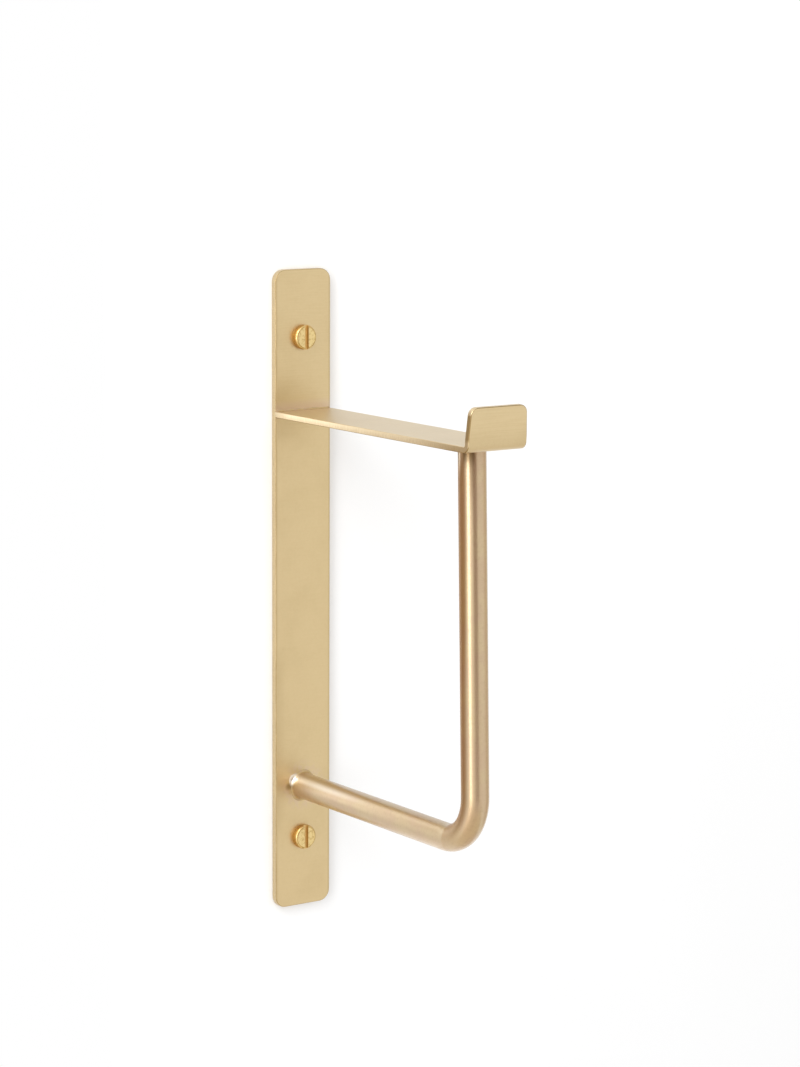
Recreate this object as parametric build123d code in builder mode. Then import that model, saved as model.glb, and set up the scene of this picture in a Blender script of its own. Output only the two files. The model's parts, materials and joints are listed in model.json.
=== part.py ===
"""Brass wall hook: a back plate, a folded shelf with a lip, and a bent bar that closes a loop below it."""

import os
from math import radians, tan

from build123d import *

# Lengths are in millimetres and angles in degrees.
# The wall is the plane Y = 0, the hook stands out towards -Y, and +Z is up.
# The origin is the middle of the back plate's rear face.

# Back plate
plate_width = 25.0
plate_height = 250.0
plate_thickness = 2.5
plate_corner_radius = 4.5
plate_edge_radius = 0.35

# Shelf, folded from a strip a little wider than the plate
shelf_width = 25.7
shelf_thickness = 2.3
shelf_drop = 54.0  # plate's upper end to the shelf's top face
shelf_depth = 125.8  # wall to the foot of the lip, inside the fold
fold_radius = 0.8  # inside of the fold
lip_height = 14.1  # above the shelf's top face
lip_lean = 4.5  # outwards from upright
lip_taper = 0.7  # taken off each side at the lip's upper end
lip_blend_radius = 30.0  # where the tapered sides leave the strip's sides
lip_corner_radius = 3.0
shelf_edge_radius = 0.4

# Round bar
rod_diameter = 10.3
rod_rise = 48.0  # plate's lower end to the axis of the level leg
rod_setback = 12.9  # foot of the lip to the bar's axis, under the shelf
rod_lean = 1.7  # the upright leg stands out further at its lower end
rod_bend_radius = 18.0  # at the axis

# Filler of the brazed joints
shelf_bead = 0.7  # leg of the beads along the shelf's root
foot_bead = 2.0  # leg of the ring on the plate
top_bead = 0.8  # leg of the ring under the shelf
bead_throat = 0.36  # depth of a bead's hollow face, as a share of its leg

# Slotted pan-head wood screws
screw_inset_upper = 26.0  # plate's upper end to the screw's axis
screw_inset_lower = 27.5  # plate's lower end to the screw's axis
screw_neck_diameter = 5.0
screw_hole_clearance = 0.25  # all round the neck
screw_core_diameter = 3.6
screw_length = 40.0  # under the head
screw_point_length = 6.0
head_diameter = 9.5
head_height = 2.6
head_edge_radius = 1.1
slot_width = 1.7
slot_depth = 1.0

# Places that follow from the sizes above
plate_front = -plate_thickness
shelf_top = plate_height / 2 - shelf_drop
shelf_underside = shelf_top - shelf_thickness
lip_offset = lip_height * tan(radians(lip_lean))
lip_top = shelf_top + lip_height
taper_start = shelf_top + 3 * fold_radius  # level at which the lip begins to narrow
rod_radius = rod_diameter / 2
rod_level = rod_rise - plate_height / 2
rod_slope = tan(radians(rod_lean))
rod_top_reach = shelf_depth - rod_setback
rod_corner_reach = rod_top_reach + (shelf_underside - rod_level) * rod_slope
rod_overrun = rod_diameter  # length above the shelf's underside that is trimmed away
bead_length = min(plate_width, shelf_width) - 2 * max(plate_edge_radius, shelf_edge_radius)
screw_levels = (plate_height / 2 - screw_inset_upper, screw_inset_lower - plate_height / 2)


# Back plate: rounded outline with the two screw holes, its front edge eased
with BuildPart() as back_plate:
    with BuildSketch(Plane.XZ):
        RectangleRounded(plate_width, plate_height, plate_corner_radius)
        with Locations(*[(0, level) for level in screw_levels]):
            Circle(screw_neck_diameter / 2 + screw_hole_clearance, mode=Mode.SUBTRACT)
    extrude(amount=plate_thickness)
    front_face = back_plate.faces().sort_by(Axis.Y)[0]
    fillet(front_face.outer_wire().edges(), plate_edge_radius)


# Shelf: the inside line of the fold, thickened, drawn across the strip's width and narrowed at the lip
with BuildPart() as shelf:
    with BuildSketch(Plane.YZ):
        with BuildLine():
            FilletPolyline(
                (plate_front, shelf_top),
                (-shelf_depth, shelf_top),
                (-shelf_depth - lip_offset, lip_top),
                radius=fold_radius,
            )
            offset(amount=shelf_thickness, side=Side.LEFT)
        make_face()
    extrude(amount=shelf_width / 2, both=True)
    with BuildSketch(Plane.XZ.offset(plate_thickness)) as outline:
        with BuildLine():
            Polyline(
                (-shelf_width / 2, shelf_underside),
                (-shelf_width / 2, taper_start),
                (-shelf_width / 2 + lip_taper, lip_top),
                (shelf_width / 2 - lip_taper, lip_top),
                (shelf_width / 2, taper_start),
                (shelf_width / 2, shelf_underside),
                close=True,
            )
        make_face()
        fillet(outline.vertices().group_by(Axis.Y)[1], lip_blend_radius)
    extrude(amount=shelf_depth + lip_offset + shelf_thickness, mode=Mode.INTERSECT)
    top_face = shelf.faces().sort_by(Axis.Z)[-1]
    fillet(top_face.edges().group_by(SortBy.LENGTH)[0], lip_corner_radius)
    long_edges = shelf.edges().filter_by(Axis.Y).group_by(SortBy.LENGTH)[-1]
    fillet(long_edges, shelf_edge_radius)


# Round bar: swept along its axis, with its upper end trimmed flat against the shelf
with BuildPart() as hook_rod:
    with BuildLine(Plane.YZ):
        rod_axis = FilletPolyline(
            (plate_front, rod_level),
            (-rod_corner_reach, rod_level),
            (-rod_top_reach + rod_overrun * rod_slope, shelf_underside + rod_overrun),
            radius=rod_bend_radius,
        )
    with BuildSketch(Plane.XZ.offset(plate_thickness)):
        with Locations((0, rod_level)):
            Circle(rod_radius)
    sweep(path=rod_axis)
    split(bisect_by=Plane.XY.offset(shelf_underside), keep=Keep.BOTTOM)


def bead_section(leg):
    """Hollow-faced section of filler in the corner at the origin, with legs along +X and +Y."""
    throat = bead_throat * leg
    with BuildSketch() as section:
        with BuildLine():
            Polyline((leg, 0), (0, 0), (0, leg))
            ThreePointArc((0, leg), (throat, throat), (leg, 0))
        make_face()
    return section.sketch


# Filler beads along the shelf's root, over and under it
with BuildPart() as shelf_braze_upper:
    with BuildSketch(Plane(origin=(0, plate_front, shelf_top), x_dir=(0, -1, 0), z_dir=(-1, 0, 0))):
        add(bead_section(shelf_bead))
    extrude(amount=bead_length / 2, both=True)

with BuildPart() as shelf_braze_lower:
    with BuildSketch(Plane(origin=(0, plate_front, shelf_underside), x_dir=(0, -1, 0), z_dir=(1, 0, 0))):
        add(bead_section(shelf_bead))
    extrude(amount=bead_length / 2, both=True)


# Filler ring round the bar's foot, on the plate
foot_plane = Plane(origin=(0, plate_front, rod_level), x_dir=(0, 0, 1), z_dir=(1, 0, 0))
with BuildPart() as rod_foot_braze:
    with BuildSketch(foot_plane):
        with Locations((rod_radius, 0)):
            add(bead_section(foot_bead))
    revolve(axis=Axis(foot_plane.origin, foot_plane.y_dir))


# Filler ring under the shelf, square to the leaning bar and trimmed flat against the shelf
top_plane = Plane(origin=(0, -rod_top_reach, shelf_underside), x_dir=(0, -1, rod_slope), z_dir=(1, 0, 0))
with BuildPart() as rod_top_braze:
    with BuildSketch(top_plane):
        with Locations((rod_radius, 0)):
            add(bead_section(top_bead))
            Rectangle(top_bead, top_bead, align=(Align.MIN, Align.MAX))
    revolve(axis=Axis(top_plane.origin, top_plane.y_dir))
    split(bisect_by=Plane.XY.offset(shelf_underside), keep=Keep.BOTTOM)


# Screws: turned profiles with a slot across each head, plain necks in the plate and pointed cores behind it
with BuildPart() as mounting_screws:
    for level in screw_levels:
        screw_plane = Plane(origin=(0, plate_front, level), x_dir=(0, 1, 0), z_dir=(1, 0, 0))
        with BuildSketch(screw_plane):
            with BuildLine():
                Polyline(
                    (-head_height, 0),
                    (-head_height, head_diameter / 2),
                    (0, head_diameter / 2),
                    (0, screw_neck_diameter / 2),
                    (plate_thickness, screw_neck_diameter / 2),
                    (plate_thickness, screw_core_diameter / 2),
                    (screw_length - screw_point_length, screw_core_diameter / 2),
                    (screw_length, 0),
                    close=True,
                )
            make_face()
        revolve(axis=Axis(screw_plane.origin, screw_plane.x_dir))
    head_rims = mounting_screws.edges().filter_by(GeomType.CIRCLE).group_by(Axis.Y)[0]
    fillet(head_rims, head_edge_radius)
    with Locations(*[(0, plate_front - head_height, level) for level in screw_levels]):
        Box(
            slot_width,
            slot_depth,
            head_diameter,
            align=(Align.CENTER, Align.MIN, Align.CENTER),
            mode=Mode.SUBTRACT,
        )


pieces = {
    "back_plate": back_plate,
    "shelf": shelf,
    "hook_rod": hook_rod,
    "shelf_braze_upper": shelf_braze_upper,
    "shelf_braze_lower": shelf_braze_lower,
    "rod_foot_braze": rod_foot_braze,
    "rod_top_braze": rod_top_braze,
    "mounting_screws": mounting_screws,
}

os.makedirs("parts", exist_ok=True)
for name, piece in pieces.items():
    piece.part.label = name
    export_step(piece.part, f"parts/{name}.step")
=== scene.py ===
"""Brass wall hook with a shelf: its finishes, filler beads, screw threads, wall, light and camera."""

import json
from math import cos, exp, pi, radians, sin

import bmesh
import bpy
from mathutils import Matrix, Vector


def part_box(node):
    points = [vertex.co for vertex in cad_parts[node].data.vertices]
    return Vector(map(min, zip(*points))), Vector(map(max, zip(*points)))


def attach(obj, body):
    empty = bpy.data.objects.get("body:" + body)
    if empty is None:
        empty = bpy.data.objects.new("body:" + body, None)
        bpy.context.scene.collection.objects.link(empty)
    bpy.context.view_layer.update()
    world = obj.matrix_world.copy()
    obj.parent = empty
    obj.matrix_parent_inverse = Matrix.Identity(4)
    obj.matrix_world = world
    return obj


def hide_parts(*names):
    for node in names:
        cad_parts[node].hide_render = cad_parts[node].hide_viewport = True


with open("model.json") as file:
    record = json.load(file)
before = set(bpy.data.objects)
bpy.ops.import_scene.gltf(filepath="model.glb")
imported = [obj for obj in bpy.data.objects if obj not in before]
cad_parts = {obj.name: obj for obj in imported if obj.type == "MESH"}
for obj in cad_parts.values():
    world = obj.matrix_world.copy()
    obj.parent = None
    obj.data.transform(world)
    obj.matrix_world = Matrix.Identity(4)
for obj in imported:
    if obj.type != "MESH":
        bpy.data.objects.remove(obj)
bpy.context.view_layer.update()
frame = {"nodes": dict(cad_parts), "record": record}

# Lengths are in metres in the CAD frame: the wall is the plane Y = 0, the hook stands out towards -Y.
# Inside materials, places and reaches are in millimetres, and noise frequencies are per millimetre.
# A range holds two values of an input, and what comes out at each of them where that isn't 0 and 1.
MM = 0.001


def direction(azimuth):
    """Level direction out from the wall; azimuth 0 points along -Y and grows towards +X."""
    return Vector((sin(azimuth), -cos(azimuth), 0.0))


# Camera
CAMERA_AIM = Vector((0.03398, -0.01936, 0.02211))
CAMERA_DISTANCE = 1.228
CAMERA_YAW = radians(34.826)
CAMERA_PITCH = radians(9.026)
CAMERA_ROLL = radians(0.306)
CAMERA_LENS = 106.62
CAMERA_SENSOR = 36.0

# Wall board behind the plate
BOARD_LEFT = -0.085
BOARD_RIGHT = 0.40
BOARD_HALF_HEIGHT = 0.45
BOARD_GAP = 0.0002
BOARD_COLOUR = (0.90, 0.90, 0.90, 1.0)
PLATE_CORNER = 4.5 * MM
OPENING_INSET = 0.6 * MM
OPENING_STEPS = 8

# The wall as the metal mirrors it: brightest in an upright band left of the plate, and pale again low down
MIRRORED_COLOUR = (0.60, 0.60, 0.60, 1.0)
BAND_RISE = (BOARD_LEFT, -0.030, 0.0, 1.0)
BAND_FALL = (-0.022, -0.015, 1.0, 0.19)
BAND_FOOT = (-0.089, -0.069, 0.32, 1.0)
LOW_GLOW = (-0.115, -0.145, 0.0, 0.55)

# Light
WORLD_COLOUR = (1.0, 1.0, 1.0, 1.0)
WORLD_STRENGTH = 1.0
STRIP_AZIMUTH = radians(-63.0)
STRIP_DISTANCE = 0.9
STRIP_HEIGHT = 0.41
STRIP_SIZE = (0.26, 1.28)
STRIP_POWER = 3.6
KEY_PLACE = Vector((-0.58, -0.34, 0.66))
KEY_SIZE = (0.60, 0.60)
KEY_POWER = 2.8

# Cards that only reflections show. A feather is the width over which a card's left, right, foot and top
# fade out. An inset moves the left side in, over a range of distances below the card's top.
SHARP = (0.001, 0.001, 0.001, 0.001)
FRONT_CARD_AZIMUTH = radians(-16.0)
FRONT_CARD_DISTANCE = 1.5
RIGHT_CARD_AZIMUTH = radians(80.0)
CARDS = {
    # Dark, beside the lip's left side
    "side_card": {
        "place": Vector((-0.36, 0.05, 0.52)),
        "size": (0.54, 1.0),
        "colour": (0.24, 0.16, 0.10, 1.0),
    },
    # Brown, for the left flank of the bar's upright leg
    "bar_card": {
        "place": Vector((-0.074, -0.103, -0.0195)),
        "size": (0.130, 0.171),
        "colour": (0.42, 0.29, 0.185, 1.0),
        "feather": (0.075, 0.0001, 0.045, 0.010),
        "inset": (0.055, 0.085, 0.0, 0.056),
    },
    # Paler, for the outermost left edge of that leg
    "edge_card": {
        "place": Vector((-0.003, -0.103, -0.012)),
        "size": (0.012, 0.156),
        "colour": (0.66, 0.54, 0.45, 1.0),
        "feather": (0.0001, 0.0001, 0.030, 0.010),
    },
    # Lies flat and faces up, for the underside of the bar's bend
    "low_card": {
        "place": Vector((-0.25, -0.35, -0.36)),
        "tilt": -pi / 2,
        "size": (0.90, 0.70),
        "colour": (0.68, 0.60, 0.50, 1.0),
        "feather": (0.10, 0.001, 0.10, 0.001),
    },
    # Dark, for the line right of the bar's highlight
    "front_card": {
        "place": direction(FRONT_CARD_AZIMUTH) * FRONT_CARD_DISTANCE + Vector((0.0, 0.0, 0.64)),
        "azimuth": FRONT_CARD_AZIMUTH + pi,
        "size": (0.80, 1.8),
        "colour": (0.16, 0.05, 0.02, 1.0),
    },
    # Tan, for the bar's right flank
    "right_card": {
        "place": direction(RIGHT_CARD_AZIMUTH),
        "azimuth": RIGHT_CARD_AZIMUTH + pi,
        "size": (1.6, 1.8),
        "colour": (0.64, 0.56, 0.45, 1.0),
        "feather": (0.001, 0.90, 0.001, 0.001),
    },
}

# Screw threads
THREAD_PITCH = 2.2 * MM
THREAD_HEIGHT = 0.62 * MM
THREAD_FOOT = 0.62 * MM
THREAD_CREST = 0.10 * MM
THREAD_SINK = 0.06 * MM
THREAD_START = 0.6 * MM
THREAD_POINT_LENGTH = 6.0 * MM
THREAD_LEAST_REACH = 0.02 * MM
THREAD_END_HEIGHT = 0.25  # share of the ridge's height that is left at the point
THREAD_END_WIDTH = 0.3  # share of its width
THREAD_STEPS = 36

# Filler beads
BEAD_SINK = 0.05 * MM
BEAD_HOLLOW = 0.06
BEAD_ARC_STEPS = 10
RING_STEPS = 144
LINE_STEPS = 120
LINE_SHARE = 0.55
FOOT_SHARE = 0.36
WIDTH_SHARE = 0.90
HEIGHT_SHARE = 0.85
# Waves of a bead's unevenness: count in a full turn, factor on the phase, and share
WAVES = ((3, 1.0, 0.5), (7, 2.3, 0.3), (13, 4.1, 0.2))
LINE_PHASE = 1.0
WIDTH_PHASE = 1.7
HEIGHT_PHASE = 2.0
HOLLOW_PHASE = 3.0
# Lumps of the ring on the plate: angle from +X towards +Z, spread, and added share of the leg
FOOT_LUMPS = (
    (radians(148), radians(22), 0.64),
    (radians(80), radians(30), 0.25),
    (radians(240), radians(28), 0.30),
    (radians(325), radians(25), 0.20),
)

# Brass colours, linear
PLATE_BRASS = (0.728, 0.572, 0.318, 1.0)
PLATE_DULL = (0.635, 0.487, 0.252, 1.0)
CUT_BRASS = (0.80, 0.66, 0.42, 1.0)
CUT_DULL = (0.66, 0.51, 0.30, 1.0)
# Brown for painted shade on edges and sides, and for dark marks
SHADE_AND_MARK_BROWN = (0.33, 0.225, 0.09, 1.0)
HEAT_PINK = (0.71, 0.545, 0.37, 1.0)
BAR_BRASS = (0.62, 0.475, 0.275, 1.0)
BAR_PINK = (0.60, 0.435, 0.27, 1.0)
# Brown for painted shade on the bar
BAR_SHADE_BROWN = (0.33, 0.21, 0.10, 1.0)
BAR_DULL = (0.50, 0.37, 0.215, 1.0)
BRAZE_BRASS = (0.60, 0.46, 0.245, 1.0)
BRAZE_PINK = (0.58, 0.43, 0.28, 1.0)
# Near-white for painted highlights
PAINTED_HIGHLIGHT_WHITE = (0.97, 0.91, 0.79, 1.0)
# Dark brown for the dark spot by the foot, and for painted shade under the shelf
DARK_SPOT_AND_SHADE_BROWN = (0.20, 0.13, 0.06, 1.0)
SCREW_BRASS = (0.86, 0.68, 0.33, 1.0)
SCREW_DULL = (0.52, 0.345, 0.11, 1.0)
# Painted shade on the heads' sides
SCREW_SIDE_SHADE = (0.54, 0.30, 0.08, 1.0)
# Painted shade in the slots
SLOT_SHADE_BROWN = (0.70, 0.49, 0.21, 1.0)

# Noise settings
BRUSHED = {"detail": 4.0, "roughness": 0.6}
SPECKLED = {"detail": 4.0, "roughness": 0.65}
SPOTTED = {"detail": 4.0}

# Rounded edges, by the share of a normal along an axis
EDGE_RISE = (0.06, 0.25)
EDGE_FALL = (0.985, 0.90)

# Finish that the plate and the shelf share
BLOTCHES = (0.06, 0.06, 0.06)
STRIP_SPECKLES = (0.9, 0.9, 0.9)
BLOTCH_TONE = (0.4, 0.75, 0.0, 0.35)
LINE_TONE = (0.35, 0.7, 0.0, 0.14)
SPECKLE_TONE = (0.4, 0.7, 0.0, 0.07)
GRAIN_TONE = (0.35, 0.75, 0.1, 0.8)
# Cover of the brown painted shade and dark marks
SHADE_AND_MARK_COVER = 0.9
LINE_ROUGHNESS = (0.2, 0.8, 0.38, 0.46)
SPECKLE_ROUGHNESS = (0.3, 0.7, -0.02, 0.03)
GRAIN_ROUGHNESS = (0.3, 0.7, 0.42, 0.55)
# Roughness under the painted shade and dark marks
SHADE_AND_MARK_ROUGHNESS = 0.6
LINE_DEPTH = 0.004 * MM
GRAIN_DEPTH = 0.015 * MM
STRIP_COAT_ROUGHNESS = 0.38

# Plate
PLATE_LINES = (0.10, 2.0, 2.0)
PLATE_GRAIN = (1.2, 0.5, 2.2)
PLATE_COAT = 0.5
CALM_DROP = (2.0, 12.0, 0.0, 0.6)  # the brush lines calm down below the shelf's root
CALM_LINE = 0.5
PLATE_FRONT = (-0.2, -0.6)
PLATE_CUT = (0.5, 0.1, 0.0, 0.6)
# Patches of painted shade along the plate's rounded edges
PLATE_EDGE_PATCHES = (0.10, 0.10, 0.10)
PLATE_EDGE_PATCHINESS = (0.35, 0.65, 0.45, 0.75)
HEAT_PATCHES = (0.5, 0.5, 0.5)
HEAT_PATCHINESS = (0.35, 0.6)
FOOT_HEAT_REACH = 4.0
FOOT_HEAT = 0.7
ROOT_HEAT_START = (-0.1, 0.0)
ROOT_HEAT_END = (5.0, 0.8)
# Faint brown patches left of the shelf's root and above the foot, and painted shade along both side edges
ROOT_PATCH_REACH = (17.0, 6.0)
ROOT_PATCH = (5.0, -12.0, 0.0, 0.16)
FOOT_PATCH_RISE = 17.0
FOOT_PATCH_REACH = (45.0, 24.0)
FOOT_PATCH = (-7.0, -12.0, 0.0, 0.14)
EDGE_SHADE = (11.3, 12.1, 0.0, 0.22)

# Bright drop, a lump with a painted highlight, and dark spot beside the bar's foot: angle, distance from the
# bar's axis, and reach
DROP_ANGLE = radians(148)
DROP_RADIUS = 6.0
DROP_REACH = (3.4, 1.0)
DARK_SPOT_ANGLE = radians(178)
DARK_SPOT_RADIUS = 6.5
DARK_SPOT_REACH = (2.2, 0.3, 0.0, 0.8)

# Shelf, with levels from its top face
SHELF_LINES = (2.2, 0.03, 2.2)
SHELF_GRAIN = (1.2, 2.6, 0.5)
SHELF_COAT = 0.9
SHELF_CUT = (0.6, 0.95)
SIDE_SHADE = (0.0, -2.3, -0.15, 0.20)
# Painted shade on the shelf: under its side edges, on its cut sides towards the lip and round the lip; and a
# brown tint low on the lip's face
UNDERSIDE = (-0.1, -0.3)
NEAR_LIP = (-85.0, -122.0, 0.0, 0.55)
LIP_START = (1.0, 3.0)
LIP_LINES = (0.06, 1.8, 1.8)
LIP_LINE_CONTRAST = (0.15, 0.85)
LIP_SIDES = (0.3, 0.6)
LIP_CORNER = (0.16, 0.05)
LIP_FACE = (-0.3, -0.8)
LIP_TINT = (9.0, -1.0, 0.0, 0.15)

# Bar
BAR_BEND = 18.0 * MM
BAR_RINGS = (3.0, 0.22, 0.22)
BAR_LINES = (0.05, 2.5, 2.5)
BAR_PATCHES = (0.10, 0.16, 0.16)
BAR_PITS = (0.8, 0.8, 0.8)
BAR_PATCHINESS = (0.35, 0.65)
RING_TONE = (0.45, 0.75, 0.0, 0.22)
PIT_TONE = (0.5, 0.75, 0.0, 0.40)
RING_ROUGHNESS = (0.2, 0.8, 0.33, 0.42)
PIT_ROUGHNESS = (0.3, 0.7, -0.02, 0.03)
RING_DEPTH = 0.012 * MM
PIT_DEPTH = 0.012 * MM
BAR_ANISOTROPY = 0.75
BAR_COAT_ROUGHNESS = 0.25
LEAST_OUTWARD = 0.001

# Painted light on the bar: two ranges of a normal's share that bound each, and where it fades along the bar
# Painted highlight on top of the level leg
HIGHLIGHT_RISE = (0.36, 0.68)
HIGHLIGHT_FALL = (0.98, 0.76)
HIGHLIGHT_DEPTH = (-62.0, -10.0, 0.0, 0.80)
# Streak of painted shade below the shelf
STREAK_RISE = (-0.46, -0.58)
STREAK_FALL = (-0.79, -0.69)
STREAK_DROP = (30.0, 4.0, 0.0, 0.70)
# Painted shade right under the shelf
SHADE_RISE = (-0.30, -0.55)
SHADE_FALL = (-0.995, -0.94)
SHADE_DROP = (8.0, 1.0, 0.0, 0.95)

# Filler
BRAZE_PATCHES = (0.45, 0.45, 0.45)
BRAZE_RIPPLES = (1.1, 1.1, 1.1)
BRAZE_PATCHINESS = (0.42, 0.62)
RIPPLE_ROUGHNESS = (0.2, 0.8, 0.44, 0.58)
SHINE_ROUGHNESS = 0.34
RIPPLE_DEPTH = 0.04 * MM

# Screws, with slot depths from the face of the head
SCREW_RINGS = (4.5, 4.5, 1.0)
SCREW_SPOTS = (0.8, 0.8, 0.8)
SPOT_TONE = (0.45, 0.7, 0.0, 0.7)
TURNING_TONE = (0.45, 0.75, 0.0, 0.25)
RIM_TONE = 0.6
RIM_OUTSIDE = (0.75, 0.85)
RIM_INSIDE = (0.985, 0.95)
# Painted shade on the head's side
HEAD_SIDE_SHADE = (0.72, 0.40, 0.0, 0.8)
SLOT_TOP = (0.05, 0.25)
SLOT_FLOOR = (1.6, 1.4)
SLOT_SIDE = (0.92, 0.86)
# Strength of the painted shade in the slots
SLOT_SHADE_STRENGTH = 0.85
SPOT_ROUGHNESS = (0.2, 0.8, 0.38, 0.54)
TURNING_DEPTH = 0.012 * MM


class Nodes:
    """Adds nodes to one node tree. An input is a number, a colour, or another node's output."""

    def __init__(self, tree):
        self.tree = tree

    def feed(self, socket, value):
        if isinstance(value, bpy.types.NodeSocket):
            self.tree.links.new(value, socket)
        else:
            socket.default_value = value

    def add(self, kind, inputs, **settings):
        node = self.tree.nodes.new(kind)
        for name, value in settings.items():
            setattr(node, name, value)
        for socket, value in inputs.items():
            self.feed(node.inputs[socket], value)
        return node

    def math(self, operation, *terms):
        return self.add("ShaderNodeMath", dict(enumerate(terms)), operation=operation).outputs[0]

    def chain(self, operation, terms):
        result = terms[0]
        for term in terms[1:]:
            result = self.math(operation, result, term)
        return result

    def total(self, *terms):
        return self.chain("ADD", terms)

    def product(self, *terms):
        return self.chain("MULTIPLY", terms)

    def most(self, *terms):
        return self.chain("MAXIMUM", terms)

    def least(self, *terms):
        return self.chain("MINIMUM", terms)

    def minus(self, first, second):
        return self.math("SUBTRACT", first, second)

    def absolute(self, value):
        return self.math("ABSOLUTE", value)

    def size(self, *terms):
        """Root of the sum of squares."""
        return self.math("SQRT", self.total(*[self.product(term, term) for term in terms]))

    def place(self):
        """Object coordinates in millimetres."""
        coordinates = self.add("ShaderNodeTexCoord", {}).outputs["Object"]
        return self.stretch(coordinates, (1 / MM, 1 / MM, 1 / MM))

    def stretch(self, vector, factors):
        return self.add("ShaderNodeVectorMath", {0: vector, 1: factors}, operation="MULTIPLY").outputs[0]

    def parts(self, vector):
        return self.add("ShaderNodeSeparateXYZ", {0: vector}).outputs

    def join(self, x, y, z):
        return self.add("ShaderNodeCombineXYZ", {0: x, 1: y, 2: z}).outputs[0]

    def normal(self):
        return self.add("ShaderNodeNewGeometry", {}).outputs["Normal"]

    def noise(self, vector, frequency, detail=3.0, roughness=0.55):
        stretched = self.stretch(vector, frequency)
        inputs = {"Vector": stretched, "Scale": 1.0, "Detail": detail, "Roughness": roughness}
        return self.add("ShaderNodeTexNoise", inputs, noise_dimensions="3D").outputs["Fac"]

    def span(self, value, low, high, to_low=0.0, to_high=1.0):
        """Smooth step of a value over a range."""
        inputs = {"Value": value, "From Min": low, "From Max": high, "To Min": to_low, "To Max": to_high}
        return self.add("ShaderNodeMapRange", inputs, interpolation_type="SMOOTHSTEP").outputs["Result"]

    def blend(self, factor, first, second):
        """Mix of two colours, in the Mix node's colour sockets."""
        inputs = {0: factor, 6: first, 7: second}
        return self.add("ShaderNodeMix", inputs, data_type="RGBA").outputs[2]

    def pick(self, factor, first, second):
        """Mix of two numbers, in the Mix node's number sockets."""
        inputs = {0: factor, 2: first, 3: second}
        return self.add("ShaderNodeMix", inputs, data_type="FLOAT").outputs[0]

    def rounded(self, value):
        """1 where a normal's share along an axis is that of a rounded edge, 0 on flat faces."""
        return self.product(self.span(value, *EDGE_RISE), self.span(value, *EDGE_FALL))

    def bump(self, height, distance, normal=None):
        inputs = {"Height": height, "Distance": distance, "Strength": 1.0}
        if normal is not None:
            inputs["Normal"] = normal
        return self.add("ShaderNodeBump", inputs).outputs["Normal"]


def new_metal(name):
    """A metal with its own node tree, and the shader that its nodes feed."""
    material = bpy.data.materials.new(name)
    material.use_nodes = True
    nodes = Nodes(material.node_tree)
    shader = material.node_tree.nodes["Principled BSDF"]
    shader.inputs["Metallic"].default_value = 1.0
    return material, nodes, shader


def shelf_level():
    """Level of the shelf's top face, in mm."""
    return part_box("shelf_braze_upper")[0].z / MM


def foot_level():
    """Level of the bar's axis at its foot, in mm."""
    low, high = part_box("rod_foot_braze")
    return (low.z + high.z) / 2 / MM


def foot_distance(nodes, place, angle=0.0, radius=0.0):
    """Distance in mm, along the plate, from the bar's axis or from a spot beside it."""
    across, _, height = nodes.parts(place)
    sideways = nodes.minus(across, radius * cos(angle))
    upwards = nodes.minus(height, foot_level() + radius * sin(angle))
    return nodes.size(sideways, upwards)


def dark_spot(nodes, place):
    """Dark spot left of the bar's foot."""
    return nodes.span(foot_distance(nodes, place, DARK_SPOT_ANGLE, DARK_SPOT_RADIUS), *DARK_SPOT_REACH)


def finish_strip(nodes, shader, place, lines, grain, cut, painted_shade_and_marks, coat, heat=None):
    """Satin strip: dull blotches under its brush lines, brown painted shade and dark marks, grainy cut sides
    and heat tints.
    """
    speckle = nodes.noise(place, STRIP_SPECKLES, **SPECKLED)
    tone = nodes.total(
        nodes.span(nodes.noise(place, BLOTCHES), *BLOTCH_TONE),
        nodes.span(lines, *LINE_TONE),
        nodes.span(speckle, *SPECKLE_TONE),
    )
    colour = nodes.blend(tone, PLATE_BRASS, PLATE_DULL)
    if heat is not None:
        colour = nodes.blend(heat, colour, HEAT_PINK)
    cut_colour = nodes.blend(nodes.span(grain, *GRAIN_TONE), CUT_BRASS, CUT_DULL)
    colour = nodes.blend(cut, colour, cut_colour)
    # Brown painted shade and dark marks
    colour = nodes.blend(nodes.product(painted_shade_and_marks, SHADE_AND_MARK_COVER), colour, SHADE_AND_MARK_BROWN)
    nodes.feed(shader.inputs["Base Color"], colour)
    satin = nodes.total(nodes.span(lines, *LINE_ROUGHNESS), nodes.span(speckle, *SPECKLE_ROUGHNESS))
    roughness = nodes.pick(cut, satin, nodes.span(grain, *GRAIN_ROUGHNESS))
    nodes.feed(shader.inputs["Roughness"], nodes.pick(painted_shade_and_marks, roughness, SHADE_AND_MARK_ROUGHNESS))
    brushed = nodes.bump(lines, LINE_DEPTH)
    grained = nodes.bump(nodes.product(grain, cut), GRAIN_DEPTH, brushed)
    nodes.feed(shader.inputs["Normal"], grained)
    # No coat under the painted shade and dark marks
    nodes.feed(shader.inputs["Coat Weight"], nodes.pick(painted_shade_and_marks, coat, 0.0))
    shader.inputs["Coat Roughness"].default_value = STRIP_COAT_ROUGHNESS


def plate_heat(nodes, place):
    """Pinkish tint in patches round the bar's foot, and along the plate above the shelf's root."""
    low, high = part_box("rod_foot_braze")
    ring = (high.z - low.z) / 2 / MM
    near_ring = nodes.span(foot_distance(nodes, place), ring + FOOT_HEAT_REACH, ring, 0.0, FOOT_HEAT)
    patches = nodes.span(nodes.noise(place, HEAT_PATCHES), *HEAT_PATCHINESS)
    above = nodes.minus(nodes.parts(place)[2], shelf_level())
    at_root = nodes.product(nodes.span(above, *ROOT_HEAT_START), nodes.span(above, *ROOT_HEAT_END))
    return nodes.most(nodes.product(near_ring, patches), at_root)


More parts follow.
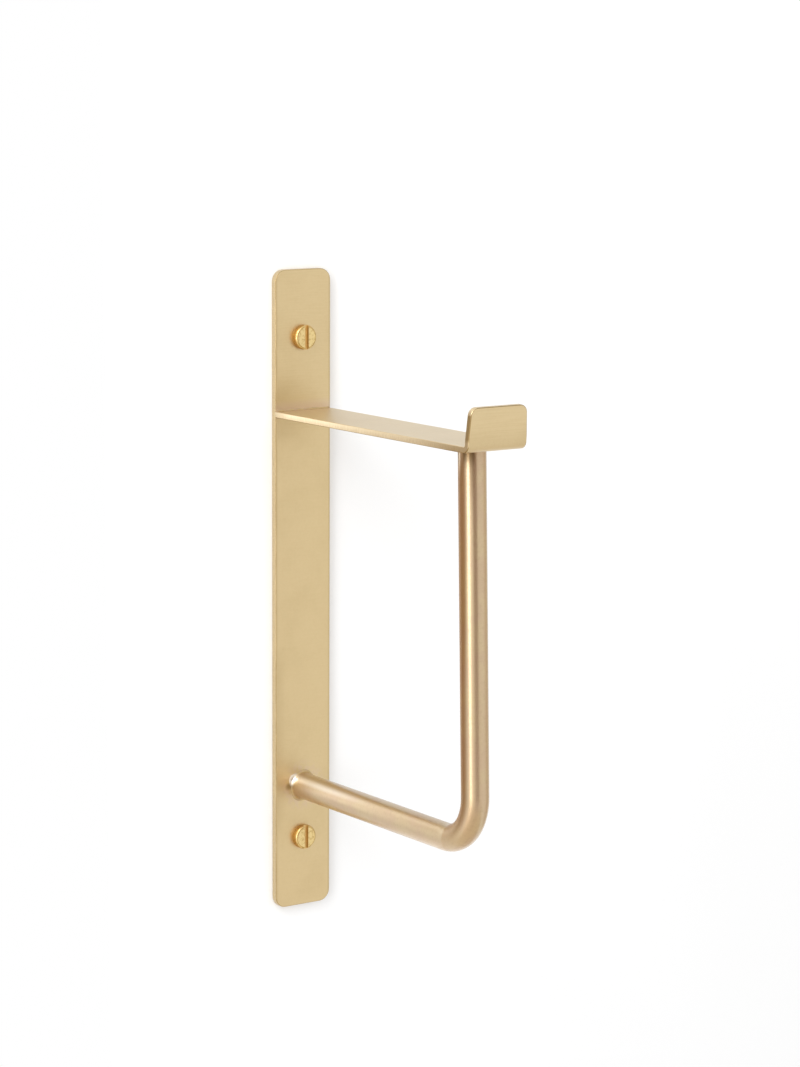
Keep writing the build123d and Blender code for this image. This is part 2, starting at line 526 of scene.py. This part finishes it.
def plate_patches_and_edge_shade(nodes, place):
    """Faint brown patches left of the shelf's root and along the left edge above the foot, and painted shade
    along both side edges.
    """
    across, _, height = nodes.parts(place)
    from_root = nodes.absolute(nodes.minus(height, shelf_level()))
    at_root = nodes.product(nodes.span(from_root, *ROOT_PATCH_REACH), nodes.span(across, *ROOT_PATCH))
    from_foot = nodes.absolute(nodes.minus(height, foot_level() + FOOT_PATCH_RISE))
    at_foot = nodes.product(nodes.span(from_foot, *FOOT_PATCH_REACH), nodes.span(across, *FOOT_PATCH))
    # Painted shade along both side edges
    at_edges = nodes.span(nodes.absolute(across), *EDGE_SHADE)
    return nodes.most(at_root, at_foot, at_edges)


def plate_brass():
    """Back plate: short brush lines across it, painted shade in patches on its rounded edges, and in front
    heat tint, darker patches, painted edge shade and a dark spot.
    """
    material, nodes, shader = new_metal("plate_brass")
    place = nodes.place()
    below_root = nodes.minus(shelf_level(), nodes.parts(place)[2])
    lines = nodes.noise(place, PLATE_LINES, **BRUSHED)
    lines = nodes.pick(nodes.span(below_root, *CALM_DROP), lines, CALM_LINE)
    grain = nodes.noise(place, PLATE_GRAIN, **BRUSHED)
    normal_y = nodes.parts(nodes.normal())[1]
    front = nodes.span(normal_y, *PLATE_FRONT)
    facing = nodes.absolute(normal_y)
    cut = nodes.span(facing, *PLATE_CUT)
    edge_patches = nodes.span(nodes.noise(place, PLATE_EDGE_PATCHES), *PLATE_EDGE_PATCHINESS)
    marks = nodes.most(dark_spot(nodes, place), plate_patches_and_edge_shade(nodes, place))
    # Painted shade on the rounded edges, and in front the dark spot, darker patches and painted edge shade
    painted_shade_and_marks = nodes.most(nodes.product(nodes.rounded(facing), edge_patches), nodes.product(marks, front))
    heat = nodes.product(plate_heat(nodes, place), front)
    finish_strip(nodes, shader, place, lines, grain, cut, painted_shade_and_marks, PLATE_COAT, heat)
    return material


def shelf_shade_and_tint(nodes, place, on_lip, cut):
    """Painted shade under the side edges, on the cut sides towards the lip and round the lip but for its
    upper left corner, and a brown tint low on the lip's face.
    """
    _, depth, height = nodes.parts(place)
    normal_x, normal_y, normal_z = nodes.parts(nodes.normal())
    sideways = nodes.absolute(normal_x)
    under_edges = nodes.product(nodes.rounded(sideways), nodes.span(normal_z, *UNDERSIDE))
    on_strip = nodes.most(under_edges, nodes.product(cut, nodes.span(depth, *NEAR_LIP)))
    lip_edges = nodes.most(nodes.rounded(nodes.absolute(normal_y)), nodes.span(sideways, *LIP_SIDES))
    upper_left = nodes.product(normal_x, normal_z, -1.0)
    lip_edges = nodes.product(lip_edges, nodes.span(upper_left, *LIP_CORNER))
    above = nodes.minus(height, shelf_level())
    tint = nodes.product(nodes.span(above, *LIP_TINT), nodes.span(normal_y, *LIP_FACE))
    return nodes.most(nodes.pick(on_lip, on_strip, lip_edges), tint)


def shelf_brass():
    """Shelf: brushed along its depth, and across its lip."""
    material, nodes, shader = new_metal("shelf_brass")
    place = nodes.place()
    above = nodes.minus(nodes.parts(place)[2], shelf_level())
    on_lip = nodes.span(above, *LIP_START)
    along = nodes.noise(place, SHELF_LINES, **BRUSHED)
    across = nodes.noise(place, LIP_LINES, **BRUSHED)
    lines = nodes.pick(on_lip, along, nodes.span(across, *LIP_LINE_CONTRAST))
    grain = nodes.total(nodes.noise(place, SHELF_GRAIN, **BRUSHED), nodes.span(above, *SIDE_SHADE))
    cut = nodes.span(nodes.absolute(nodes.parts(nodes.normal())[0]), *SHELF_CUT)
    painted_shade_and_marks = shelf_shade_and_tint(nodes, place, on_lip, cut)
    finish_strip(nodes, shader, place, lines, grain, cut, painted_shade_and_marks, SHELF_COAT)
    return material


def bar_place(nodes):
    """Length along the bar with two coordinates across it, in mm, and the angle that its bend has turned."""
    low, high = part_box("hook_rod")
    radius = (high.x - low.x) / 2
    across, depth, height = nodes.parts(nodes.place())
    outward = nodes.minus((low.y + radius + BAR_BEND) / MM, depth)
    downward = nodes.minus((low.z + radius + BAR_BEND) / MM, height)
    turn_out = nodes.most(outward, LEAST_OUTWARD)
    turn_down = nodes.most(downward, 0.0)
    angle = nodes.math("ARCTAN2", turn_down, turn_out)
    bend = nodes.product(angle, BAR_BEND / MM)
    upright = nodes.least(downward, 0.0)
    level = nodes.least(outward, 0.0)
    length = nodes.minus(nodes.total(upright, bend), level)
    return nodes.join(length, across, nodes.size(turn_out, turn_down)), angle


def bar_painted_light(nodes):
    """Painted highlight on top of the level leg, and a streak of painted shade and painted shade under the
    shelf.
    """
    _, depth, height = nodes.parts(nodes.place())
    normal_x, _, normal_z = nodes.parts(nodes.normal())
    below_top = nodes.minus(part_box("hook_rod")[1].z / MM, height)
    marks = []
    for share, rise, fall, place, fade in (
        (normal_z, HIGHLIGHT_RISE, HIGHLIGHT_FALL, depth, HIGHLIGHT_DEPTH),
        (normal_x, STREAK_RISE, STREAK_FALL, below_top, STREAK_DROP),
        (normal_x, SHADE_RISE, SHADE_FALL, below_top, SHADE_DROP),
    ):
        stripe = nodes.product(nodes.span(share, *rise), nodes.span(share, *fall))
        marks.append(nodes.product(stripe, nodes.span(place, *fade)))
    return marks


def bar_brass():
    """Drawn round bar: fine polishing rings round it, faint drawing lines along it, small pits, and painted
    highlight and shade.
    """
    material, nodes, shader = new_metal("bar_brass")
    place, angle = bar_place(nodes)
    rings = nodes.noise(place, BAR_RINGS, **SPECKLED)
    lines = nodes.noise(place, BAR_LINES)
    pits = nodes.noise(place, BAR_PITS, **SPECKLED)
    patches = nodes.span(nodes.noise(place, BAR_PATCHES), *BAR_PATCHINESS)
    painted_highlight, shade_streak, shade_under_shelf = bar_painted_light(nodes)
    colour = nodes.blend(patches, BAR_BRASS, BAR_PINK)
    dull = nodes.total(nodes.span(rings, *RING_TONE), nodes.span(pits, *PIT_TONE))
    colour = nodes.blend(dull, colour, BAR_DULL)
    # Painted highlight on the level leg, and painted shade below the shelf
    colour = nodes.blend(painted_highlight, colour, PAINTED_HIGHLIGHT_WHITE)
    colour = nodes.blend(shade_streak, colour, BAR_SHADE_BROWN)
    colour = nodes.blend(shade_under_shelf, colour, DARK_SPOT_AND_SHADE_BROWN)
    nodes.feed(shader.inputs["Base Color"], colour)
    roughness = nodes.total(nodes.span(rings, *RING_ROUGHNESS), nodes.span(pits, *PIT_ROUGHNESS))
    nodes.feed(shader.inputs["Roughness"], roughness)
    backward = nodes.math("SINE", angle)
    downward = nodes.product(nodes.math("COSINE", angle), -1.0)
    nodes.feed(shader.inputs["Tangent"], nodes.join(0.0, backward, downward))
    shader.inputs["Anisotropic"].default_value = BAR_ANISOTROPY
    drawn = nodes.bump(lines, LINE_DEPTH)
    pitted = nodes.bump(pits, PIT_DEPTH, drawn)
    nodes.feed(shader.inputs["Normal"], nodes.bump(rings, RING_DEPTH, pitted))
    # No coat where shade is painted under the shelf
    nodes.feed(shader.inputs["Coat Weight"], nodes.minus(1.0, shade_under_shelf))
    shader.inputs["Coat Roughness"].default_value = BAR_COAT_ROUGHNESS
    return material


def braze_brass():
    """Filler: satin with pinkish patches and small ripples, and a smooth drop by the bar's foot with a
    painted highlight on it.
    """
    material, nodes, shader = new_metal("braze_brass")
    place = nodes.place()
    patches = nodes.span(nodes.noise(place, BRAZE_PATCHES), *BRAZE_PATCHINESS)
    ripples = nodes.noise(place, BRAZE_RIPPLES)
    painted_glint = nodes.span(foot_distance(nodes, place, DROP_ANGLE, DROP_RADIUS), *DROP_REACH)
    colour = nodes.blend(patches, BRAZE_BRASS, BRAZE_PINK)
    colour = nodes.blend(dark_spot(nodes, place), colour, DARK_SPOT_AND_SHADE_BROWN)
    # Painted highlight on the smooth drop
    nodes.feed(shader.inputs["Base Color"], nodes.blend(painted_glint, colour, PAINTED_HIGHLIGHT_WHITE))
    roughness = nodes.pick(painted_glint, nodes.span(ripples, *RIPPLE_ROUGHNESS), SHINE_ROUGHNESS)
    nodes.feed(shader.inputs["Roughness"], roughness)
    nodes.feed(shader.inputs["Normal"], nodes.bump(ripples, RIPPLE_DEPTH))
    return material


def screw_mount():
    """The record's mount that holds the screws' spacing and their core's radius."""
    return next(mount for mount in frame["record"]["mounts"] if mount["name"] == "screw_ends")


def screw_levels():
    """Level midway between the screws' axes, and half their spacing."""
    mount = screw_mount()
    return mount["pos_m"][2], mount["dims"]["spacing_y_mm"] * MM / 2


def slot_shade(nodes, across, depth):
    """Painted shade inside the slots of the heads."""
    inward = nodes.minus(depth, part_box("mounting_screws")[0].y / MM)
    sunk = nodes.product(nodes.span(inward, *SLOT_TOP), nodes.span(inward, *SLOT_FLOOR))
    return nodes.product(sunk, nodes.span(nodes.absolute(across), *SLOT_SIDE), SLOT_SHADE_STRENGTH)


def screw_brass():
    """Turned screws: golden, with fine rings round each axis, dull spots and rims, and painted shade on the
    heads' sides and in the slots.
    """
    material, nodes, shader = new_metal("screw_brass")
    middle, half_spacing = screw_levels()
    place = nodes.place()
    across, depth, height = nodes.parts(place)
    offset = nodes.absolute(nodes.minus(height, middle / MM))
    rise = nodes.minus(offset, half_spacing / MM)
    turned = nodes.join(nodes.size(across, rise), depth, 0.0)
    rings = nodes.noise(turned, SCREW_RINGS)
    spots = nodes.noise(place, SCREW_SPOTS, **SPOTTED)
    facing = nodes.absolute(nodes.parts(nodes.normal())[1])
    rim = nodes.product(nodes.span(facing, *RIM_INSIDE), nodes.span(facing, *RIM_OUTSIDE), RIM_TONE)
    dull = nodes.total(nodes.span(spots, *SPOT_TONE), nodes.span(rings, *TURNING_TONE), rim)
    colour = nodes.blend(nodes.least(dull, 1.0), SCREW_BRASS, SCREW_DULL)
    # Painted shade on the head's side and in the slot
    colour = nodes.blend(nodes.span(facing, *HEAD_SIDE_SHADE), colour, SCREW_SIDE_SHADE)
    colour = nodes.blend(slot_shade(nodes, across, depth), colour, SLOT_SHADE_BROWN)
    nodes.feed(shader.inputs["Base Color"], colour)
    nodes.feed(shader.inputs["Roughness"], nodes.span(spots, *SPOT_ROUGHNESS))
    nodes.feed(shader.inputs["Normal"], nodes.bump(rings, TURNING_DEPTH))
    return material


def dress(material, *names):
    """Gives CAD nodes their finish."""
    for name in names:
        for slot in frame["nodes"][name].material_slots:
            slot.material = material


def link_mesh(name, mesh_data, material):
    """Puts a finished mesh into the scene."""
    mesh = bpy.data.meshes.new(name)
    mesh_data.to_mesh(mesh)
    mesh_data.free()
    mesh.materials.append(material)
    thing = bpy.data.objects.new(name, mesh)
    bpy.context.scene.collection.objects.link(thing)
    return thing


def skin(mesh, rows, closed):
    """Joins rows of vertices, each a closed section, into one surface with ends if it isn't a ring."""
    after_rows = rows[1:] + rows[:1] if closed else rows[1:]
    for first, second in zip(rows, after_rows):
        for k in range(len(first)):
            after = (k + 1) % len(first)
            mesh.faces.new((first[k], first[after], second[after], second[k]))
    if not closed:
        mesh.faces.new(rows[0])
        mesh.faces.new(reversed(rows[-1]))
    bmesh.ops.recalc_face_normals(mesh, faces=mesh.faces)


def thread_ridge(name, level, core_radius, end, material):
    """A screw's helical ridge, sunk a little into its core and running out along its point."""
    ridge = bmesh.new()
    turns = (end - THREAD_START) / THREAD_PITCH
    count = int(turns * THREAD_STEPS)
    profile = (
        (-THREAD_FOOT / 2, -THREAD_SINK),
        (-THREAD_CREST / 2, THREAD_HEIGHT),
        (THREAD_CREST / 2, THREAD_HEIGHT),
        (THREAD_FOOT / 2, -THREAD_SINK),
    )
    rows = []
    for step in range(count + 1):
        angle = 2 * pi * step / THREAD_STEPS
        along = THREAD_START + (end - THREAD_START) * step / count
        taper = min(1.0, (end - along) / THREAD_POINT_LENGTH)
        lead_in = min(1.0, step / THREAD_STEPS)
        tall = min(lead_in, THREAD_END_HEIGHT + (1 - THREAD_END_HEIGHT) * taper)
        wide = THREAD_END_WIDTH + (1 - THREAD_END_WIDTH) * taper
        row = []
        for shift, rise in profile:
            reach = max(core_radius * taper + rise * tall, THREAD_LEAST_REACH)
            place = (reach * cos(angle), along + shift * wide, level + reach * sin(angle))
            row.append(ridge.verts.new(place))
        rows.append(row)
    skin(ridge, rows, closed=False)
    thing = link_mesh(name, ridge, material)
    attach(thing, "root")


def sway(turn, phase):
    """Uneven factor between 0 and 1 that repeats after a full turn."""
    waves = sum(share * sin(count * turn + factor * phase) for count, factor, share in WAVES)
    return 0.5 + 0.5 * waves


def uneven(least, turn, phase):
    """Uneven factor between a least value and 1."""
    return least + (1 - least) * sway(turn, phase)


def line_share(turn):
    """Width of a straight bead, as a share of its leg."""
    return uneven(LINE_SHARE, turn, LINE_PHASE)


def foot_share(turn):
    """Width of the ring on the plate, as a share of its leg."""
    share = FOOT_SHARE
    for place, spread, gain in FOOT_LUMPS:
        away = abs((turn - place + pi) % (2 * pi) - pi)
        share += gain * exp(-((away / spread) ** 2))
    return min(share, 1.0)


def bead_section(leg, turn):
    """Outline of a bead as places out and up from its corner, with a hollow face."""
    wide = leg * uneven(WIDTH_SHARE, turn, WIDTH_PHASE)
    tall = leg * uneven(HEIGHT_SHARE, turn, HEIGHT_PHASE)
    hollow = BEAD_HOLLOW * sway(turn, HOLLOW_PHASE)
    section = [(wide, -BEAD_SINK)]
    for k in range(BEAD_ARC_STEPS + 1):
        share = k / BEAD_ARC_STEPS
        middle = 2 * share * (1 - share) * hollow
        section.append((wide * ((1 - share) ** 2 + middle), tall * (share ** 2 + middle)))
    section.append((-BEAD_SINK, tall))
    section.append((-BEAD_SINK, -BEAD_SINK))
    return section


def filler_bead(name, node, corners, leg, share_at, closed, material):
    """Filler of uneven width, run along corners that each hold a place and two directions."""
    bead = bmesh.new()
    rows = []
    for step, (corner, out, up) in enumerate(corners):
        turn = 2 * pi * step / len(corners)
        section = bead_section(leg * share_at(turn), turn)
        rows.append([bead.verts.new(corner + out * u + up * v) for u, v in section])
    skin(bead, rows, closed)
    for face in bead.faces:
        face.smooth = True
    thing = link_mesh(name, bead, material)
    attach(thing, "root")
    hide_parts(node)


def ring_corners(middle, radius, first, second, up):
    """Corner round a bar: places on a circle, outward directions and the direction along the bar."""
    corners = []
    for step in range(RING_STEPS):
        angle = 2 * pi * step / RING_STEPS
        out = first * cos(angle) + second * sin(angle)
        corners.append((middle + out * radius, out, up))
    return corners


def line_corners(start, end, out, up):
    """Straight corner between two places."""
    return [(start.lerp(end, step / LINE_STEPS), out, up) for step in range(LINE_STEPS + 1)]


def build_beads(material):
    """Uneven beads in place of the smooth ones: the ring on the plate, and both along the shelf's root."""
    x_axis, y_axis, z_axis = Matrix.Identity(3)
    low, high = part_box("rod_foot_braze")
    leg = high.y - low.y
    middle = Vector((0.0, high.y, (low.z + high.z) / 2))
    ring = ring_corners(middle, high.x - leg, x_axis, z_axis, -y_axis)
    filler_bead("foot_filler", "rod_foot_braze", ring, leg, foot_share, True, material)
    for name, node, up in (
        ("upper_filler", "shelf_braze_upper", z_axis),
        ("lower_filler", "shelf_braze_lower", -z_axis),
    ):
        low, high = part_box(node)
        level = low.z if up.z > 0 else high.z
        start = Vector((low.x, high.y, level))
        end = Vector((high.x, high.y, level))
        line = line_corners(start, end, -y_axis, up)
        filler_bead(name, node, line, high.y - low.y, line_share, False, material)


def build_threads(material):
    """Helical ridges on the two screws, behind the plate."""
    core_radius = screw_mount()["dims"]["stud_r_mm"] * MM
    middle, half_spacing = screw_levels()
    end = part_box("mounting_screws")[1].y - THREAD_FOOT / 2
    for name, side in (("upper_thread", 1), ("lower_thread", -1)):
        thread_ridge(name, middle + side * half_spacing, core_radius, end, material)


def show_front_only(nodes, shader):
    """Makes a sheet clear from behind."""
    clear = nodes.add("ShaderNodeBsdfTransparent", {})
    behind = nodes.add("ShaderNodeNewGeometry", {}).outputs["Backfacing"]
    both = nodes.add("ShaderNodeMixShader", {0: behind, 1: shader.outputs[0], 2: clear.outputs[0]})
    nodes.feed(nodes.tree.nodes["Material Output"].inputs["Surface"], both.outputs[0])


def mirrored_wall(nodes):
    """The wall's shader for reflections: grey, with a glow in the band left of the plate and low down."""
    across, _, height = nodes.parts(nodes.add("ShaderNodeNewGeometry", {}).outputs["Position"])
    band = nodes.least(
        nodes.span(across, *BAND_RISE),
        nodes.span(across, *BAND_FALL),
        nodes.span(height, *BAND_FOOT),
    )
    glow = nodes.most(band, nodes.span(height, *LOW_GLOW))
    grey = nodes.add("ShaderNodeBsdfDiffuse", {"Color": MIRRORED_COLOUR})
    light = nodes.add("ShaderNodeEmission", {"Strength": glow})
    return nodes.add("ShaderNodeAddShader", {0: grey.outputs[0], 1: light.outputs[0]})


def board_material():
    """White wall that keeps the hook's shadow, with its own shader for reflections, clear from behind."""
    material = bpy.data.materials.new("wall_white")
    material.use_nodes = True
    tree = material.node_tree
    tree.nodes.remove(tree.nodes["Principled BSDF"])
    nodes = Nodes(tree)
    plain = nodes.add("ShaderNodeBsdfDiffuse", {"Color": BOARD_COLOUR})
    glossy = nodes.add("ShaderNodeLightPath", {}).outputs["Is Glossy Ray"]
    shaders = {0: glossy, 1: plain.outputs[0], 2: mirrored_wall(nodes).outputs[0]}
    show_front_only(nodes, nodes.add("ShaderNodeMixShader", shaders))
    return material


def opening_outline():
    """Outline of the wall's opening behind the plate, as places across and up."""
    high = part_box("back_plate")[1]
    radius = PLATE_CORNER - OPENING_INSET
    places = []
    for quarter, (x_side, z_side) in enumerate(((1, 1), (-1, 1), (-1, -1), (1, -1))):
        middle_x = x_side * (high.x - PLATE_CORNER)
        middle_z = z_side * (high.z - PLATE_CORNER)
        for step in range(OPENING_STEPS + 1):
            angle = (quarter + step / OPENING_STEPS) * pi / 2
            places.append((middle_x + radius * cos(angle), middle_z + radius * sin(angle)))
    return places


def build_board():
    """Wall board that faces -Y. The plate covers its opening, so that the plate's back is lit too."""
    corners = [
        (BOARD_LEFT, -BOARD_HALF_HEIGHT),
        (BOARD_RIGHT, -BOARD_HALF_HEIGHT),
        (BOARD_RIGHT, BOARD_HALF_HEIGHT),
        (BOARD_LEFT, BOARD_HALF_HEIGHT),
    ]
    sheet = bmesh.new()
    edges = []
    for outline in (corners, opening_outline()):
        verts = [sheet.verts.new((x, BOARD_GAP, z)) for x, z in outline]
        edges += [sheet.edges.new(pair) for pair in zip(verts, verts[1:] + verts[:1])]
    bmesh.ops.triangle_fill(sheet, use_beauty=True, edges=edges)
    sheet.normal_update()
    for face in sheet.faces:
        if face.normal.y > 0:
            face.normal_flip()
    link_mesh("wall_board", sheet, board_material())


def card_material(name, size, colour, feather, inset):
    """Plain matt card that fades out towards its sides."""
    material = bpy.data.materials.new(name)
    material.use_nodes = True
    shader = material.node_tree.nodes["Principled BSDF"]
    shader.inputs["Base Color"].default_value = colour
    shader.inputs["Roughness"].default_value = 1.0
    shader.inputs["Specular IOR Level"].default_value = 0.0
    nodes = Nodes(material.node_tree)
    clear = nodes.add("ShaderNodeBsdfTransparent", {})
    across, _, height = nodes.parts(nodes.add("ShaderNodeTexCoord", {}).outputs["Object"])
    from_left = nodes.total(across, size[0] / 2)
    from_right = nodes.minus(size[0] / 2, across)
    from_foot = nodes.total(height, size[1] / 2)
    from_top = nodes.minus(size[1] / 2, height)
    if inset:
        from_left = nodes.minus(from_left, nodes.span(from_top, *inset))
    distances = (from_left, from_right, from_foot, from_top)
    cover = nodes.product(*[nodes.span(distance, 0.0, fade) for distance, fade in zip(distances, feather)])
    card = nodes.add("ShaderNodeMixShader", {0: cover, 1: clear.outputs[0], 2: shader.outputs[0]})
    show_front_only(nodes, card)
    return material


def mirrored_card(name, place, size, colour, azimuth=0.0, tilt=0.0, feather=SHARP, inset=None):
    """Stands an upright card, whose front faces -Y before it is tilted and turned, for reflections alone."""
    sheet = bmesh.new()
    corners = ((-1, -1), (1, -1), (1, 1), (-1, 1))
    sheet.faces.new([sheet.verts.new((x * size[0] / 2, 0.0, z * size[1] / 2)) for x, z in corners])
    card = link_mesh(name, sheet, card_material(name, size, colour, feather, inset))
    card.location = place
    card.rotation_euler = (tilt, 0.0, azimuth)
    card.visible_camera = False
    card.visible_diffuse = False
    card.visible_shadow = False


def build_stage():
    """Wall board behind the plate, and cards for the metal to mirror."""
    build_board()
    for name, card in CARDS.items():
        mirrored_card(name, **card)


def soft_lamp(name, place, aim, size, power):
    """Rectangular soft lamp that faces a place."""
    lamp = bpy.data.lights.new(name, "AREA")
    lamp.shape = "RECTANGLE"
    lamp.size, lamp.size_y = size
    lamp.energy = power
    thing = bpy.data.objects.new(name, lamp)
    thing.location = place
    thing.rotation_euler = (aim - place).to_track_quat("-Z", "Y").to_euler()
    bpy.context.scene.collection.objects.link(thing)


def build_light():
    """White surround, one tall soft strip on the left and a small soft lamp above it."""
    world = bpy.data.worlds.new("surround")
    bpy.context.scene.world = world
    world.use_nodes = True
    background = world.node_tree.nodes["Background"]
    background.inputs["Color"].default_value = WORLD_COLOUR
    background.inputs["Strength"].default_value = WORLD_STRENGTH
    aim = Vector((0.0, 0.0, STRIP_HEIGHT))
    soft_lamp("strip", aim + direction(STRIP_AZIMUTH) * STRIP_DISTANCE, aim, STRIP_SIZE, STRIP_POWER)
    soft_lamp("key", KEY_PLACE, Vector(), KEY_SIZE, KEY_POWER)


def build_camera():
    """Camera at the photograph's viewing angle."""
    lens = bpy.data.cameras.new("camera")
    lens.sensor_fit = "VERTICAL"
    lens.sensor_height = CAMERA_SENSOR
    lens.lens = CAMERA_LENS
    camera = bpy.data.objects.new("camera", lens)
    turn = (
        Matrix.Rotation(-CAMERA_YAW, 4, "Z")
        @ Matrix.Rotation(pi / 2 - CAMERA_PITCH, 4, "X")
        @ Matrix.Rotation(CAMERA_ROLL, 4, "Z")
    )
    back = turn.to_3x3() @ Vector((0.0, 0.0, 1.0))
    camera.matrix_world = Matrix.Translation(CAMERA_AIM + back * CAMERA_DISTANCE) @ turn
    bpy.context.scene.collection.objects.link(camera)
    bpy.context.scene.camera = camera


screw_finish = screw_brass()
braze_finish = braze_brass()
dress(plate_brass(), "back_plate")
dress(shelf_brass(), "shelf")
dress(bar_brass(), "hook_rod")
dress(braze_finish, "shelf_braze_upper", "shelf_braze_lower", "rod_foot_braze", "rod_top_braze")
dress(screw_finish, "mounting_screws")
build_beads(braze_finish)
build_threads(screw_finish)

build_stage()
build_light()
build_camera()
bpy.context.scene.view_settings.view_transform = "Standard"
